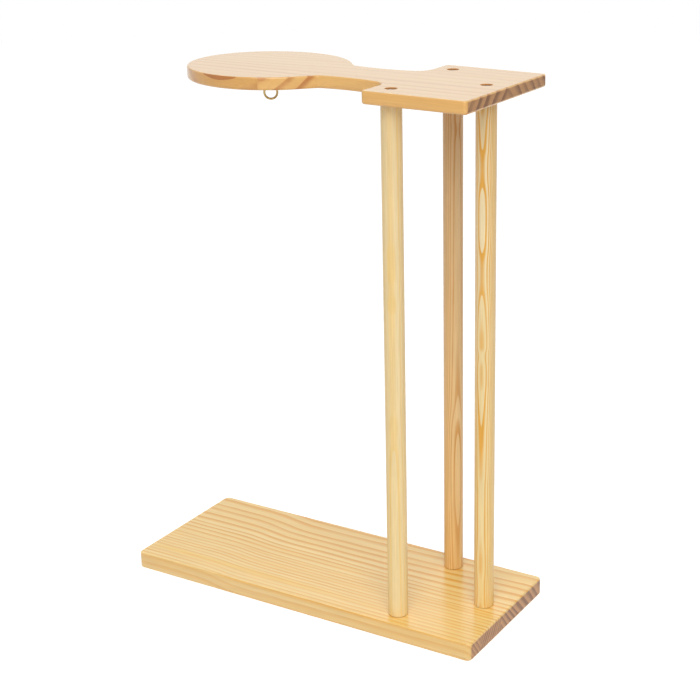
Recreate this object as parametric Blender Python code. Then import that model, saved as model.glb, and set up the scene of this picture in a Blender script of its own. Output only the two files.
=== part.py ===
"""A wooden stand that holds one hanging chime.

Three turned posts carry a shaped top board above a flat base board. The top board ends in a
round plate, and a brass screw eye under its centre holds the chime's cord. Countersunk wood
screws go through both boards into the ends of the posts.

Metres, +Z up. The origin is the centre of the base board's underside, +X points from the round
plate towards the posts, and the stand is alike on both sides of the XZ plane.
"""

import math

import bmesh
import bpy
from mathutils import Matrix, Vector

# Overall height, from the base's underside to the top board's upper face.
overall_height = 0.550

# Base board.
base_length = 0.410
base_width = 0.160
base_thickness = 0.018
base_corner_radius = 0.006

# Top board: a round plate, a little longer than wide, a neck with hollowed sides, and a square
# plate over the posts. Straight flanks run from the round plate into the neck, at an angle from
# the board's length. The neck's width is that of its waist, where its sides come closest.
top_thickness = 0.0125
disc_length = 0.1645
disc_width = 0.155
disc_to_base_middle = 0.063
disc_flank_angle = math.radians(48)
neck_width = 0.060
neck_side_radius = 0.170
disc_to_neck_waist = 0.108
disc_fillet_radius = 0.003
plate_fillet_radius = 0.015
post_plate_length = 0.1085
post_plate_corner_radius = 0.004
post_plate_setback = 0.0045

# Rounding along the edges of both boards.
board_edge_radius = 0.002

# Posts, and how far their axes stand in from the edges of the plate above them.
post_diameter = 0.020
post_end_chamfer = 0.0005
end_post_inset = 0.0225
side_post_inset = 0.0225
inner_post_inset = 0.019

# Wood screws. Each length runs from the top of the head to the point.
screw_diameter = 0.004
screw_core_diameter = 0.0027
screw_head_diameter = 0.0078
screw_head_rim = 0.0003
screw_thread_pitch = 0.0022
screw_thread_length = 0.026
screw_point_length = 0.005
screw_point_share = 0.25
top_screw_length = 0.045
base_screw_length = 0.050
cross_recess_span = 0.0044
cross_recess_slot = 0.0010
cross_recess_depth = 0.0015
cross_recess_floor_share = 0.5

# Countersinks: their mouths are wider than the heads, which therefore sit below the surface.
top_countersink_diameter = 0.012
base_countersink_diameter = 0.0115

# Screw eye, bent from brass wire.
eye_wire_diameter = 0.0022
eye_outer_diameter = 0.015
eye_drop = 0.0235
eye_shoulder_radius = 0.002
eye_thread_depth = 0.0003
eye_thread_pitch = 0.0011
eye_point_length = 0.0025
eye_point_share = 0.3
wood_above_eye = 0.0024
eye_turn = math.radians(28)

# Space left between faces that touch on the real stand, and beyond a screw's point.
seat_gap = 0.0003
bore_end_space = 0.0006

# How far a cutter runs past the surface that it opens.
cut_overrun = 0.001

# Steps of the round shapes.
disc_steps = 64
small_arc_steps = 5
edge_steps = 2
post_segments = 40
bore_segments = 20
screw_segments = 10
rings_per_thread = 3
eye_segments = 8
eye_loop_steps = 28

# Places that follow from the sizes above.
top_underside = overall_height - top_thickness
post_bottom = base_thickness + seat_gap
post_length = top_underside - seat_gap - post_bottom
post_plate_width = base_width
plate_end_x = base_length / 2 - post_plate_setback
plate_inner_x = plate_end_x - post_plate_length
pair_x = plate_inner_x + inner_post_inset
pair_y = post_plate_width / 2 - side_post_inset
end_post_x = plate_end_x - end_post_inset
disc_x = -disc_to_base_middle
eye_thread_length = top_thickness - wood_above_eye - bore_end_space
post_places = {
    "front": (pair_x, -pair_y),
    "back": (pair_x, pair_y),
    "end": (end_post_x, 0.0),
}


def clear_scene():
    for thing in list(bpy.data.objects):
        bpy.data.objects.remove(thing)


def finish(name, color, roughness, metallic):
    material = bpy.data.materials.new(name)
    material.use_nodes = True
    shader = material.node_tree.nodes["Principled BSDF"]
    shader.inputs["Base Color"].default_value = (*color, 1.0)
    shader.inputs["Roughness"].default_value = roughness
    shader.inputs["Metallic"].default_value = metallic
    return material


def add_object(name, mesh, material, location=(0.0, 0.0, 0.0)):
    thing = bpy.data.objects.new(name, mesh)
    thing.location = location
    bpy.context.scene.collection.objects.link(thing)
    if material is not None and not mesh.materials:
        mesh.materials.append(material)
    return thing


def mesh_from_rings(name, rings, smooth_angle=math.radians(35)):
    """Joins closed rings of points, listed from one end to the other, and closes both ends.
    A ring of a single point is a pole."""
    shape = bmesh.new()
    loops = [[shape.verts.new(point) for point in ring] for ring in rings]
    for lower, upper in zip(loops, loops[1:]):
        count = max(len(lower), len(upper))
        for i in range(count):
            j = (i + 1) % count
            if len(lower) == 1:
                shape.faces.new((lower[0], upper[j], upper[i]))
            elif len(upper) == 1:
                shape.faces.new((lower[i], lower[j], upper[0]))
            else:
                shape.faces.new((lower[i], lower[j], upper[j], upper[i]))
    if len(loops[0]) > 1:
        shape.faces.new(list(reversed(loops[0])))
    if len(loops[-1]) > 1:
        shape.faces.new(loops[-1])
    bmesh.ops.recalc_face_normals(shape, faces=shape.faces)
    mesh = bpy.data.meshes.new(name)
    shape.to_mesh(mesh)
    shape.free()
    mesh.shade_smooth()
    mesh.set_sharp_from_angle(angle=smooth_angle)
    return mesh


def arc(center, radius, start, end, steps):
    """Points of an arc from one angle to another, both ends included."""
    angles = [start + (end - start) * i / steps for i in range(steps + 1)]
    return [(center[0] + radius * math.cos(a), center[1] + radius * math.sin(a)) for a in angles]


def base_outline(inset):
    half_length = base_length / 2 - base_corner_radius
    half_width = base_width / 2 - base_corner_radius
    radius = base_corner_radius - inset
    corners = [(1, -1), (1, 1), (-1, 1), (-1, -1)]
    points = []
    for number, (side_x, side_y) in enumerate(corners):
        start = (number - 1) * math.pi / 2
        center = (side_x * half_length, side_y * half_width)
        points += arc(center, radius, start, start + math.pi / 2, small_arc_steps)
    return points


def disc_edge(inset):
    """The round plate's edge on one side, drawn in by inset, from its end on the board's middle
    line to the place where it runs in the flank's direction."""
    half_length = disc_length / 2 - inset
    half_width = disc_width / 2 - inset
    leave = -math.atan2(
        half_width * math.cos(disc_flank_angle), half_length * math.sin(disc_flank_angle)
    )
    steps = disc_steps // 2
    angles = [-math.pi + (leave + math.pi) * i / steps for i in range(steps + 1)]
    return [(disc_x + half_length * math.cos(a), half_width * math.sin(a)) for a in angles]


def line_meets_circle(start, way, center, radius):
    """The point where a line leaves a circle that it starts in."""
    offset = start - center
    back = offset.dot(way)
    return start + way * (math.sqrt(back**2 - offset.length_squared + radius**2) - back)


def top_outline(inset):
    """The top board's outline, drawn in by inset. Each arc keeps its centre. Fillets join the
    neck's hollowed side to the round plate's flank and to the square plate."""
    hollow = Vector((disc_x + disc_to_neck_waist, -neck_width / 2 - neck_side_radius))
    flank = Vector((math.cos(disc_flank_angle), math.sin(disc_flank_angle)))
    outwards = Vector((flank.y, -flank.x))
    disc_fillet = line_meets_circle(
        Vector(disc_edge(0.0)[-1]) + outwards * disc_fillet_radius,
        flank,
        hollow,
        neck_side_radius - disc_fillet_radius,
    )
    plate_fillet_x = plate_inner_x - plate_fillet_radius
    reach = math.sqrt(
        (neck_side_radius - plate_fillet_radius) ** 2 - (plate_fillet_x - hollow.x) ** 2
    )
    plate_fillet = Vector((plate_fillet_x, hollow.y + reach))
    meet_hollow = math.atan2(*(disc_fillet - hollow).yx)
    leave_hollow = math.atan2(*(plate_fillet - hollow).yx)
    corner = post_plate_corner_radius
    corner_y = post_plate_width / 2 - corner
    half = disc_edge(inset)
    half += arc(
        disc_fillet,
        disc_fillet_radius + inset,
        disc_flank_angle + math.pi / 2,
        meet_hollow,
        small_arc_steps,
    )
    half += arc(hollow, neck_side_radius + inset, meet_hollow, leave_hollow, small_arc_steps)[1:]
    half += arc(plate_fillet, plate_fillet_radius + inset, leave_hollow, 0, small_arc_steps)[1:]
    half += arc(
        (plate_inner_x + corner, -corner_y),
        corner - inset,
        math.pi,
        math.pi * 1.5,
        small_arc_steps,
    )
    half += arc(
        (plate_end_x - corner, -corner_y),
        corner - inset,
        math.pi * 1.5,
        math.pi * 2,
        small_arc_steps,
    )
    mirrored = [(x, -y) for x, y in reversed(half[1:])]
    return half + mirrored


def board(name, outline, bottom, thickness, material):
    """A flat board with both faces' edges rounded over."""
    turns = [i * math.pi / 2 / edge_steps for i in range(edge_steps + 1)]
    rings = []
    for turn in turns:
        inset = board_edge_radius * (1 - math.sin(turn))
        height = bottom + board_edge_radius * (1 - math.cos(turn))
        rings.append([(x, y, height) for x, y in outline(inset)])
    for turn in reversed(turns):
        inset = board_edge_radius * (1 - math.sin(turn))
        height = bottom + thickness - board_edge_radius * (1 - math.cos(turn))
        rings.append([(x, y, height) for x, y in outline(inset)])
    return add_object(name, mesh_from_rings(name, rings), material)


def turned_mesh(name, profile, segments):
    """A solid turned about Z from (radius, height) points that run from axis to axis."""
    rings = []
    for radius, height in profile:
        if radius == 0:
            rings.append([(0.0, 0.0, height)])
        else:
            angles = [2 * math.pi * i / segments for i in range(segments)]
            rings.append([(radius * math.cos(a), radius * math.sin(a), height) for a in angles])
    return mesh_from_rings(name, rings)


def cut(target, tool):
    """Takes the tool's shape out of the target. The tool stays as a hidden guide."""
    tool.hide_render = True
    tool.display_type = "WIRE"
    step = target.modifiers.new("cut_" + tool.name, "BOOLEAN")
    step.operation = "DIFFERENCE"
    step.solver = "EXACT"
    step.object = tool


def screw_bore_radius():
    return screw_diameter / 2 + seat_gap


def head_recess(countersink_diameter):
    """How far a head lies below the surface in a 90 degree countersink, one gap off its wall."""
    widening = (countersink_diameter - screw_head_diameter) / 2
    return widening - screw_head_rim - seat_gap * math.sqrt(2)


def screw_hole(name, place, surface, runs_up, countersink_diameter, thickness):
    """A cutter for a countersunk clearance hole that runs through a board, down from its upper
    surface or up from its underside."""
    bore = screw_bore_radius()
    mouth = countersink_diameter / 2
    profile = [
        (0, cut_overrun),
        (mouth + cut_overrun, cut_overrun),
        (bore, bore - mouth),
        (bore, -thickness - cut_overrun),
        (0, -thickness - cut_overrun),
    ]
    tool = add_object(name, turned_mesh(name, profile, bore_segments), None)
    tool.location = (*place, surface)
    if runs_up:
        tool.rotation_euler = (math.pi, 0.0, 0.0)
    return tool


def cross_recess_cutter():
    """A tapered cross that a screwdriver fits."""
    reach = cross_recess_span / 2
    slot = cross_recess_slot / 2
    quarter = [(reach, -slot), (reach, slot), (slot, slot)]
    outline = []
    for turn in range(4):
        spin = Matrix.Rotation(turn * math.pi / 2, 2)
        outline += [tuple(spin @ Vector(point)) for point in quarter]
    floor = cross_recess_floor_share
    above = 2 - floor
    rings = [
        [(x * floor, y * floor, -cross_recess_depth) for x, y in outline],
        [(x * above, y * above, cross_recess_depth) for x, y in outline],
    ]
    return add_object("cross_recess", mesh_from_rings("cross_recess", rings), None)


def thread_height(turns):
    """Share of the full thread depth, from 0 at the root to 1 at the crest."""
    return 1 - abs(2 * (turns % 1.0) - 1)


def blend(start, end, share):
    """The value that lies share of the way from start to end."""
    return start + (end - start) * share


def screw_rings(length):
    """A countersunk wood screw along Z: flat head at height 0, and its point at -length."""
    head = screw_head_diameter / 2
    core = screw_core_diameter / 2
    depth = screw_diameter / 2 - core
    cone_end = -screw_head_rim - (head - core)
    angles = [2 * math.pi * i / screw_segments for i in range(screw_segments)]

    def ring(radius, height):
        return [(radius * math.cos(a), radius * math.sin(a), height) for a in angles]

    rings = [ring(head, 0.0), ring(head, -screw_head_rim), ring(core, cone_end)]
    thread_start = -length + screw_point_length + screw_thread_length
    step = screw_thread_pitch / rings_per_thread
    count = round((screw_thread_length + screw_point_length) / step)
    for number in range(count):
        height = thread_start - number * step
        to_point = height + length
        taper = min(1.0, to_point / screw_point_length)
        rise = min(1.0, number / rings_per_thread) * taper
        points = []
        for a in angles:
            share = thread_height(height / screw_thread_pitch - a / (2 * math.pi))
            radius = core * blend(screw_point_share, 1, taper) + depth * rise * share
            points.append((radius * math.cos(a), radius * math.sin(a), height))
        rings.append(points)
    rings.append([(0.0, 0.0, -length)])
    return rings


def screw_mesh(name, length):
    """The screw's mesh with its cross recess already cut."""
    blank = add_object(name + "_blank", mesh_from_rings(name, screw_rings(length)), None)
    tool = cross_recess_cutter()
    cut(blank, tool)
    graph = bpy.context.evaluated_depsgraph_get()
    mesh = bpy.data.meshes.new_from_object(blank.evaluated_get(graph))
    mesh.name = name
    bpy.data.objects.remove(blank)
    bpy.data.objects.remove(tool)
    return mesh


def post(name, place, material):
    """A dowel with a screw bore in each end."""
    radius = post_diameter / 2
    edge = post_end_chamfer
    bore = screw_bore_radius()
    recess_top = head_recess(top_countersink_diameter)
    recess_base = head_recess(base_countersink_diameter)
    top_depth = top_screw_length + recess_top - top_thickness - seat_gap + bore_end_space
    base_depth = base_screw_length + recess_base - base_thickness - seat_gap + bore_end_space
    profile = [
        (0, base_depth),
        (bore, base_depth),
        (bore, 0),
        (radius - edge, 0),
        (radius, edge),
        (radius, post_length - edge),
        (radius - edge, post_length),
        (bore, post_length),
        (bore, post_length - top_depth),
        (0, post_length - top_depth),
    ]
    mesh = turned_mesh(name, profile, post_segments)
    return add_object(name, mesh, material, (*place, post_bottom))


def eye_path():
    """The screw eye's centre line in its own plane, as (across, height) from the board's
    underside, point first: straight shank, a shoulder bend, then once round the loop."""
    radius = (eye_outer_diameter - eye_wire_diameter) / 2
    center = -eye_drop + eye_outer_diameter / 2
    shoulder = eye_shoulder_radius
    rise = math.sqrt((radius + shoulder) ** 2 - shoulder**2)
    meet = math.atan2(rise, shoulder)
    shoulder_start = center + rise
    bend = arc((shoulder, shoulder_start), shoulder, math.pi, meet + math.pi, small_arc_steps)
    free_end = math.pi / 2 + math.asin((eye_wire_diameter + seat_gap) / radius)
    loop = arc((0.0, center), radius, meet, free_end - 2 * math.pi, eye_loop_steps)
    return bend + loop[1:]


def screw_eye(material):
    """Brass wire, threaded at one end and bent into a loop at the other."""
    wire = eye_wire_diameter / 2
    line = eye_path()
    angles = [2 * math.pi * i / eye_segments for i in range(eye_segments)]
    rings = [[(0.0, 0.0, eye_thread_length)]]
    step = eye_thread_pitch / rings_per_thread
    count = math.floor((eye_thread_length + step) / step)
    for number in range(1, count):
        height = eye_thread_length - number * step
        taper = min(1.0, number * step / eye_point_length)
        fade = min(1.0, (count - number) / rings_per_thread)
        points = []
        for a in angles:
            share = thread_height(height / eye_thread_pitch - a / (2 * math.pi))
            radius = wire * blend(eye_point_share, 1, taper)
            radius += eye_thread_depth * share * taper * fade
            points.append((radius * math.cos(a), radius * math.sin(a), height))
        rings.append(points)
    rings.append([(wire * math.cos(a), wire * math.sin(a), 0.0) for a in angles])
    for number, (across, height) in enumerate(line):
        ahead = line[min(number + 1, len(line) - 1)]
        behind = line[max(number - 1, 0)]
        run = Vector((ahead[0] - behind[0], ahead[1] - behind[1]))
        if number == 0:
            run = Vector((0.0, -1.0))
        run.normalize()
        side = Vector((-run.y, run.x))
        points = []
        for a in angles:
            offset = wire * math.cos(a)
            points.append((across + offset * side.x, wire * math.sin(a), height + offset * side.y))
        rings.append(points)
    eye = add_object("screw_eye", mesh_from_rings("screw_eye", rings), material)
    eye.location = (disc_x, 0.0, top_underside)
    eye.rotation_euler = (0.0, 0.0, eye_turn)
    return eye


def eye_bore():
    """A cutter for the blind pilot hole that the screw eye is driven into."""
    radius = eye_wire_diameter / 2 + eye_thread_depth + seat_gap
    depth = eye_thread_length + bore_end_space
    profile = [(0, -cut_overrun), (radius, -cut_overrun), (radius, depth), (0, depth)]
    tool = add_object("eye_bore", turned_mesh("eye_bore", profile, bore_segments), None)
    tool.location = (disc_x, 0.0, top_underside)
    return tool


def build():
    clear_scene()
    base_pine = finish("base_pine", (0.86, 0.60, 0.31), 0.45, 0.0)
    top_pine = finish("top_pine", (0.89, 0.66, 0.40), 0.45, 0.0)
    post_pine = finish("post_pine", (0.83, 0.60, 0.33), 0.45, 0.0)
    zinc_steel = finish("zinc_steel", (0.42, 0.40, 0.37), 0.35, 1.0)
    brass = finish("brass", (0.62, 0.44, 0.14), 0.25, 1.0)

    base = board("base_board", base_outline, 0.0, base_thickness, base_pine)
    top = board("top_board", top_outline, top_underside, top_thickness, top_pine)
    top_screw = screw_mesh("top_screw", top_screw_length)
    base_screw = screw_mesh("base_screw", base_screw_length)
    screw_top = overall_height - head_recess(top_countersink_diameter)
    screw_base = head_recess(base_countersink_diameter)

    for where, place in post_places.items():
        post(f"post_{where}", place, post_pine)
        top_hole = screw_hole(
            f"top_hole_{where}",
            place,
            overall_height,
            False,
            top_countersink_diameter,
            top_thickness,
        )
        cut(top, top_hole)
        base_hole = screw_hole(
            f"base_hole_{where}", place, 0.0, True, base_countersink_diameter, base_thickness
        )
        cut(base, base_hole)
        add_object(f"top_screw_{where}", top_screw, zinc_steel, (*place, screw_top))
        lower = add_object(f"base_screw_{where}", base_screw, zinc_steel, (*place, screw_base))
        lower.rotation_euler = (math.pi, 0.0, 0.0)

    cut(top, eye_bore())
    screw_eye(brass)


build()
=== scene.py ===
import math

import bmesh
import bpy
from mathutils import Matrix, Vector


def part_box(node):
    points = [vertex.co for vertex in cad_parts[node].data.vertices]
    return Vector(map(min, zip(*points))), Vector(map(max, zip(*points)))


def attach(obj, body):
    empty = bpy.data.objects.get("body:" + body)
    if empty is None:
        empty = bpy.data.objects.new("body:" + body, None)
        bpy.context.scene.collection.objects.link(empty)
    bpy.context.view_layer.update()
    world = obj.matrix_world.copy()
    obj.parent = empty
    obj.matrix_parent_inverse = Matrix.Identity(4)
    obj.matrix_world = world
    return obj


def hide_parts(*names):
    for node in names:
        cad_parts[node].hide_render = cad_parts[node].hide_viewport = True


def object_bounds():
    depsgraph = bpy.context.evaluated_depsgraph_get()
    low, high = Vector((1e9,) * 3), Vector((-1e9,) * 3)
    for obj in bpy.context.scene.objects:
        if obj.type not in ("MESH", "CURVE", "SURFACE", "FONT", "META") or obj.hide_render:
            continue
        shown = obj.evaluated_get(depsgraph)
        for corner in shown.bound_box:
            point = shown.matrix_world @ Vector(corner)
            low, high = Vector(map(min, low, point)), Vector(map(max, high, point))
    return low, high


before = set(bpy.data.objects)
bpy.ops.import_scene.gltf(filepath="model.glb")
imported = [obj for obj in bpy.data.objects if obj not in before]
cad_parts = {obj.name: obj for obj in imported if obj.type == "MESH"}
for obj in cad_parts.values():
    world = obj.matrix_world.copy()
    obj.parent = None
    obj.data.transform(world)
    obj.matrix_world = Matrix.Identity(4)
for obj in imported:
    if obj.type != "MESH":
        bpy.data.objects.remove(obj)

cad_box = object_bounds()

# The studio. A white floor keeps the stand's shadow under an even white surround, with a wide
# soft lamp overhead, another above the camera and a weak one behind. The camera stands at the
# photograph's viewing angle, and a small lens shift follows the way the photograph was cropped.
photo_pixels = 700
optical_centre = (460.0, 300.0)
focal_length_pixels = 1558.9
sensor_width = 36.0
view_azimuth = math.radians(28.78)
view_elevation = math.radians(18.12)
view_distance = 1.6121
view_side_step = 0.1318
view_lift = 0.1097
aim_height = 0.200

white = (1.0, 1.0, 1.0, 1.0)
ambient_strength = 0.42
floor_radius = 4.0
floor_color = (0.85, 0.85, 0.85, 1.0)
floor_glow = 0.52
lamp_aim_height = 0.3
lamps = {
    "overhead": {"azimuth": 34, "elevation": 74, "distance": 6.0, "size": 4.0, "power": 62},
    "above_camera": {"azimuth": 32, "elevation": 40, "distance": 4.0, "size": 3.0, "power": 88},
    "behind": {"azimuth": 209, "elevation": 40, "distance": 4.0, "size": 2.4, "power": 8},
}


def connect(tree, node, inputs):
    """Links or sets each input that is named."""
    for key, value in inputs.items():
        if isinstance(value, bpy.types.NodeSocket):
            tree.links.new(value, node.inputs[key])
        else:
            node.inputs[key].default_value = value


def add_node(tree, kind, inputs=None, **settings):
    """Adds a node with its settings and its inputs."""
    made = tree.nodes.new(kind)
    for name, value in settings.items():
        setattr(made, name, value)
    connect(tree, made, inputs or {})
    return made


def calculate(tree, operation, *values, clamp=False):
    """A Math node's result. Each value is a number or a socket."""
    inputs = dict(enumerate(values))
    made = add_node(tree, "ShaderNodeMath", inputs, operation=operation, use_clamp=clamp)
    return made.outputs[0]


def sum_of(tree, first, second):
    return calculate(tree, "ADD", first, second)


def difference(tree, first, second):
    return calculate(tree, "SUBTRACT", first, second)


def product(tree, first, second, clamp=False):
    return calculate(tree, "MULTIPLY", first, second, clamp=clamp)


def link_object(name, data):
    thing = bpy.data.objects.new(name, data)
    bpy.context.scene.collection.objects.link(thing)
    return thing


def blank_material(name):
    """A new material, and its empty tree."""
    material = bpy.data.materials.new(name)
    material.use_nodes = True
    material.node_tree.nodes.clear()
    return material, material.node_tree


def direction_from(azimuth, elevation):
    """The way from the stand towards something seen at this azimuth and elevation."""
    flat = math.cos(elevation)
    return Vector((math.sin(azimuth) * flat, -math.cos(azimuth) * flat, math.sin(elevation)))


def place_camera():
    back = direction_from(view_azimuth, view_elevation)
    right = Vector((0, 0, 1)).cross(back).normalized()
    up = back.cross(right)
    lens = bpy.data.cameras.new("camera")
    lens.sensor_width = sensor_width
    lens.lens = focal_length_pixels / photo_pixels * sensor_width
    lens.shift_x = (photo_pixels / 2 - optical_centre[0]) / photo_pixels
    lens.shift_y = (optical_centre[1] - photo_pixels / 2) / photo_pixels
    lens.clip_start = 0.01
    lens.clip_end = 50.0
    camera = link_object("camera", lens)
    spot = Vector((0, 0, aim_height)) + back * view_distance + right * view_side_step
    spot += up * view_lift
    turn = Matrix((right, up, back)).transposed()
    camera.matrix_world = Matrix.Translation(spot) @ turn.to_4x4()
    bpy.context.scene.camera = camera


def place_lamp(name, azimuth, elevation, distance, size, power):
    lamp = bpy.data.lights.new(name, "AREA")
    lamp.shape = "DISK"
    lamp.size = size
    lamp.energy = power
    back = direction_from(math.radians(azimuth), math.radians(elevation))
    thing = link_object(name, lamp)
    thing.location = Vector((0, 0, lamp_aim_height)) + back * distance
    thing.rotation_mode = "QUATERNION"
    thing.rotation_quaternion = (-back).to_track_quat("-Z", "Y")


def seen_directly(tree):
    """1 for what the camera sees, straight or in a shiny surface, and 0 for light on things."""
    path = add_node(tree, "ShaderNodeLightPath").outputs
    shiny = calculate(tree, "MAXIMUM", path["Is Glossy Ray"], path["Is Transmission Ray"])
    return calculate(tree, "MAXIMUM", path["Is Camera Ray"], shiny)


def white_surround():
    world = bpy.data.worlds.new("white_surround")
    world.use_nodes = True
    tree = world.node_tree
    tree.nodes.clear()
    soft = add_node(tree, "ShaderNodeBackground", {"Color": white, "Strength": ambient_strength})
    plain = add_node(tree, "ShaderNodeBackground", {"Color": white, "Strength": 1.0})
    inputs = {0: seen_directly(tree), 1: soft.outputs[0], 2: plain.outputs[0]}
    both = add_node(tree, "ShaderNodeMixShader", inputs)
    add_node(tree, "ShaderNodeOutputWorld", {"Surface": both.outputs[0]})
    bpy.context.scene.world = world


def white_floor():
    """The floor's own colour takes the light and the shadows. The camera sees a little glow
    added, so that the open floor reads as white, and from below it sees through the floor."""
    shape = bmesh.new()
    bmesh.ops.create_circle(shape, cap_ends=True, segments=96, radius=floor_radius)
    mesh = bpy.data.meshes.new("floor")
    shape.to_mesh(mesh)
    shape.free()
    material, tree = blank_material("floor_white")
    paper = add_node(tree, "ShaderNodeBsdfDiffuse", {"Color": floor_color})
    glow_strength = product(tree, seen_directly(tree), floor_glow)
    glow = add_node(tree, "ShaderNodeEmission", {"Color": white, "Strength": glow_strength})
    lit = add_node(tree, "ShaderNodeAddShader", {0: paper.outputs[0], 1: glow.outputs[0]})
    clear = add_node(tree, "ShaderNodeBsdfTransparent")
    facing = add_node(tree, "ShaderNodeNewGeometry").outputs["Backfacing"]
    inputs = {0: facing, 1: lit.outputs[0], 2: clear.outputs[0]}
    sided = add_node(tree, "ShaderNodeMixShader", inputs)
    add_node(tree, "ShaderNodeOutputMaterial", {"Surface": sided.outputs[0]})
    mesh.materials.append(material)
    floor = link_object("floor", mesh)


place_camera()
for lamp_name, lamp_values in lamps.items():
    place_lamp(lamp_name, **lamp_values)
white_surround()
white_floor()
bpy.context.scene.view_settings.view_transform = "Standard"

# The base board. A flat panel of lacquered pine, glued up edge to edge from three strips whose
# growth rings lean different ways, with its corners and all its edges rounded over. Three
# countersunk holes in its underside take the screws that go up into the posts.
base_corner_radius = 0.006
base_edge_radius = 0.002
base_countersink_diameter = 0.0115
screw_bore_diameter = 0.0046
corner_steps = 12
edge_steps = 8
flat_rim = 0.0006
hole_segments = 64
hole_overrun = 0.001
sharp_angle = math.radians(30)

base_low, base_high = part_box("base_board")
post_nodes = {"front": "post_front", "back": "post_back", "end": "post_end"}
post_spots = {}
for post_side, post_node in post_nodes.items():
    post_low, post_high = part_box(post_node)
    post_middle = (post_low + post_high) / 2
    post_spots[post_side] = (post_middle.x, post_middle.y)


def arc(center, radius, start, end, steps):
    """Points of an arc from one angle to another, both ends included."""
    angles = [start + (end - start) * i / steps for i in range(steps + 1)]
    return [(center[0] + radius * math.cos(a), center[1] + radius * math.sin(a)) for a in angles]


def circle(center, radius, sides):
    """Points of a whole circle."""
    return arc(center, radius, 0.0, 2 * math.pi, sides)[:-1]


def base_outline(inset):
    middle = (base_low + base_high) / 2
    half = (base_high - base_low) / 2
    points = []
    for number, (side_x, side_y) in enumerate([(1, -1), (1, 1), (-1, 1), (-1, -1)]):
        start = (number - 1) * math.pi / 2
        center = (
            middle.x + side_x * (half.x - base_corner_radius),
            middle.y + side_y * (half.y - base_corner_radius),
        )
        radius = base_corner_radius - inset
        points += arc(center, radius, start, start + math.pi / 2, corner_steps)
    return points


def smooth(mesh):
    """Smooth shading, with sharp edges kept."""
    mesh.shade_smooth()
    mesh.set_sharp_from_angle(angle=sharp_angle)


def closed_mesh(name, rings):
    """Joins rings of points from one end to the other and closes both ends. A ring of one point
    is a pole."""
    shape = bmesh.new()
    loops = [[shape.verts.new(point) for point in ring] for ring in rings]
    for lower, upper in zip(loops, loops[1:]):
        count = max(len(lower), len(upper))
        for i in range(count):
            j = (i + 1) % count
            if len(lower) == 1:
                shape.faces.new((lower[0], upper[j], upper[i]))
            elif len(upper) == 1:
                shape.faces.new((lower[i], lower[j], upper[0]))
            else:
                shape.faces.new((lower[i], lower[j], upper[j], upper[i]))
    for end in (loops[0], loops[-1]):
        if len(end) > 1:
            shape.faces.new(end)
    bmesh.ops.recalc_face_normals(shape, faces=shape.faces)
    mesh = bpy.data.meshes.new(name)
    shape.to_mesh(mesh)
    shape.free()
    smooth(mesh)
    return mesh


def rounded_board(name, outline, low, high, low_radius, high_radius):
    """A flat board with both faces' edges rounded over. A narrow flat rim inside each rounding
    keeps the wide faces' shading flat."""
    turns = [i * math.pi / 2 / edge_steps for i in range(edge_steps + 1)]
    lower = [
        (low + low_radius * (1 - math.cos(turn)), low_radius * (1 - math.sin(turn)))
        for turn in turns
    ]
    upper = [
        (high - high_radius * (1 - math.cos(turn)), high_radius * (1 - math.sin(turn)))
        for turn in reversed(turns)
    ]
    levels = [(low, low_radius + flat_rim), *lower, *upper, (high, high_radius + flat_rim)]
    return closed_mesh(name, [[(x, y, z) for x, y in outline(inset)] for z, inset in levels])


def round_cutter(spot, profile):
    """A round tool on an upright axis, from points of (radius, height)."""
    rings = [[(x, y, z) for x, y in circle(spot, r, hole_segments)] for r, z in profile]
    return closed_mesh("hole", rings)


def countersinks(surface, far_side, mouth_diameter):
    """Countersunk holes in line with the posts, from the height of one face to the other's."""
    bore = screw_bore_diameter / 2
    mouth = mouth_diameter / 2
    way = math.copysign(1.0, far_side - surface)
    profile = [
        (mouth + hole_overrun, surface - way * hole_overrun),
        (bore, surface + way * (mouth - bore)),
        (bore, far_side + way * hole_overrun),
    ]
    return [round_cutter(spot, profile) for spot in post_spots.values()]


def cut_holes(board, cutters, wall_material):
    """Takes the cutters out of the board. The holes' walls get their own material."""
    made = []
    for mesh in cutters:
        mesh.materials.append(wall_material)
        tool = link_object("cutter", mesh)
        step = board.modifiers.new("hole", "BOOLEAN")
        step.operation = "DIFFERENCE"
        step.solver = "EXACT"
        step.material_mode = "TRANSFER"
        step.object = tool
        made.append(tool)
    graph = bpy.context.evaluated_depsgraph_get()
    mesh = bpy.data.meshes.new_from_object(board.evaluated_get(graph))
    board.modifiers.clear()
    smooth(mesh)
    board.data = mesh
    for tool in made:
        bpy.data.objects.remove(tool)


def new_tree(name, kind, inputs, outputs):
    """A node group with its named inputs and outputs, and the sockets that its inputs give."""
    tree = bpy.data.node_groups.new(name, kind)
    for way, sockets in (("INPUT", inputs), ("OUTPUT", outputs)):
        for sort, names in sockets.items():
            for each in names:
                tree.interface.new_socket(each, in_out=way, socket_type=f"NodeSocket{sort}")
    return tree, add_node(tree, "NodeGroupInput").outputs


def vector_math(tree, operation, *values):
    """A Vector Math node's result."""
    inputs = dict(enumerate(values))
    made = add_node(tree, "ShaderNodeVectorMath", inputs, operation=operation)
    return made.outputs["Value" if operation in ("DOT_PRODUCT", "LENGTH") else "Vector"]


def ramp(tree, value, low, high, to_low=0.0, to_high=1.0, shape="LINEAR"):
    """The value moved from one range to another and held at its ends."""
    inputs = {"Value": value, 1: low, 2: high, 3: to_low, 4: to_high}
    return add_node(tree, "ShaderNodeMapRange", inputs, interpolation_type=shape).outputs[0]


def soft_ramp(tree, *values):
    return ramp(tree, *values, shape="SMOOTHSTEP")


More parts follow.
